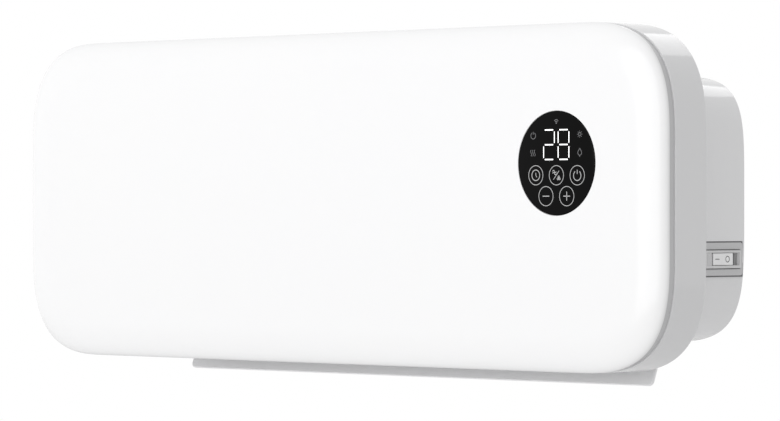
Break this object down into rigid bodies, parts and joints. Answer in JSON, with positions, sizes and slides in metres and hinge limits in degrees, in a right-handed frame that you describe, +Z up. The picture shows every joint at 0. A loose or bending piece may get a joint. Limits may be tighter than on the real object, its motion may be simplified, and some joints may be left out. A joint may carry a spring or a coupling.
{
  "type": "bathroom wall fan heater",
  "caption": "Wide wall-hung electric fan heater with a pillow-edged front, round touch display, side mains rocker, crossflow fan and a swinging outlet flap.",
  "frame": {"origin": "on the wall plane, at the rear face of the wall bracket, behind the centre of the front panel", "axes": "+X to the right as seen from the front, +Y into the wall, +Z up"},
  "size_m": [0.658, 0.0998, 0.2511],
  "materials": {
    "panel_gloss": "glossy white moulded ABS",
    "casing_satin": "satin very light grey moulded ABS",
    "trim_grey": "satin light grey moulded plastic",
    "lens_black": "high gloss black acrylic",
    "dark_plastic": "matt dark moulded plastic",
    "rocker_white": "glossy white moulded plastic",
    "circuit_board": "green solder resist",
    "led_face": "pale diffuser",
    "zinc_steel": "zinc plated",
    "fin_aluminium": "mill finish",
    "foot_rubber": "matt",
    "ceramic": "unglazed"
  },
  "bodies": {
    "bracket": {"wall_bracket": "zinc_steel"},
    "casing": {"rear_housing": "casing_satin", "side_band": "casing_satin", "panel_carrier": "trim_grey", "front_panel": "panel_gloss", "display_lens": "lens_black", "display_holder": "dark_plastic", "display_board": "circuit_board", "digit_module": "led_face", "control_board": "circuit_board", "relay_1": "dark_plastic", "relay_2": "dark_plastic", "transformer": "dark_plastic", "radio_module": "zinc_steel", "terminal_block": "ceramic", "scroll_casing": "trim_grey", "fan_tongue": "trim_grey", "duct_end_left": "trim_grey", "duct_end_right": "trim_grey", "fan_motor": "zinc_steel", "motor_bracket": "trim_grey", "shaft_bearing": "zinc_steel", "bearing_holder": "trim_grey", "ptc_bank_left": "fin_aluminium", "ptc_bank_right": "fin_aluminium", "heater_holder_left": "ceramic", "heater_holder_right": "ceramic", "thermal_cutout": "zinc_steel", "thermal_fuse": "ceramic", "outlet_grille": "trim_grey", "flap_bush": "dark_plastic", "flap_motor": "zinc_steel", "switch_plate": "trim_grey", "switch_body": "casing_satin", "cord_gland": "dark_plastic", "foot_left": "foot_rubber", "foot_right": "foot_rubber", "room_sensor": "dark_plastic", "supply_lead": "dark_plastic", "board_lead": "dark_plastic", "case_screw_1": "zinc_steel", "case_screw_2": "zinc_steel", "case_screw_3": "zinc_steel", "case_screw_4": "zinc_steel", "touch_pad_timer": "foot_rubber", "touch_pad_mode": "foot_rubber", "touch_pad_power": "foot_rubber", "touch_pad_minus": "foot_rubber", "touch_pad_plus": "foot_rubber"},
    "fan": {"fan_impeller": "dark_plastic", "impeller_shaft": "zinc_steel", "motor_rotor": "zinc_steel"},
    "flap": {"swing_flap": "trim_grey"},
    "paddle": {"rocker_paddle": "rocker_white"}
  },
  "joints": [
    {"name": "lift_off", "type": "slide", "parent": "bracket", "child": "casing", "axis": [0, 0, 1], "range_m": [0, 0.012]},
    {"name": "fan_spin", "type": "hinge", "parent": "casing", "child": "fan", "pos_m": [0.01555, -0.042, 0.0116], "axis": [1, 0, 0], "continuous": true},
    {"name": "flap_swing", "type": "hinge", "parent": "casing", "child": "flap", "pos_m": [0.01555, -0.0114, -0.0963], "axis": [1, 0, 0], "range_deg": [-68.5, 21.5]},
    {"name": "rocker_press", "type": "hinge", "parent": "casing", "child": "paddle", "pos_m": [0.3181, -0.029, -0.0419], "axis": [0, 0, 1], "range_deg": [0, 14]}
  ]
}
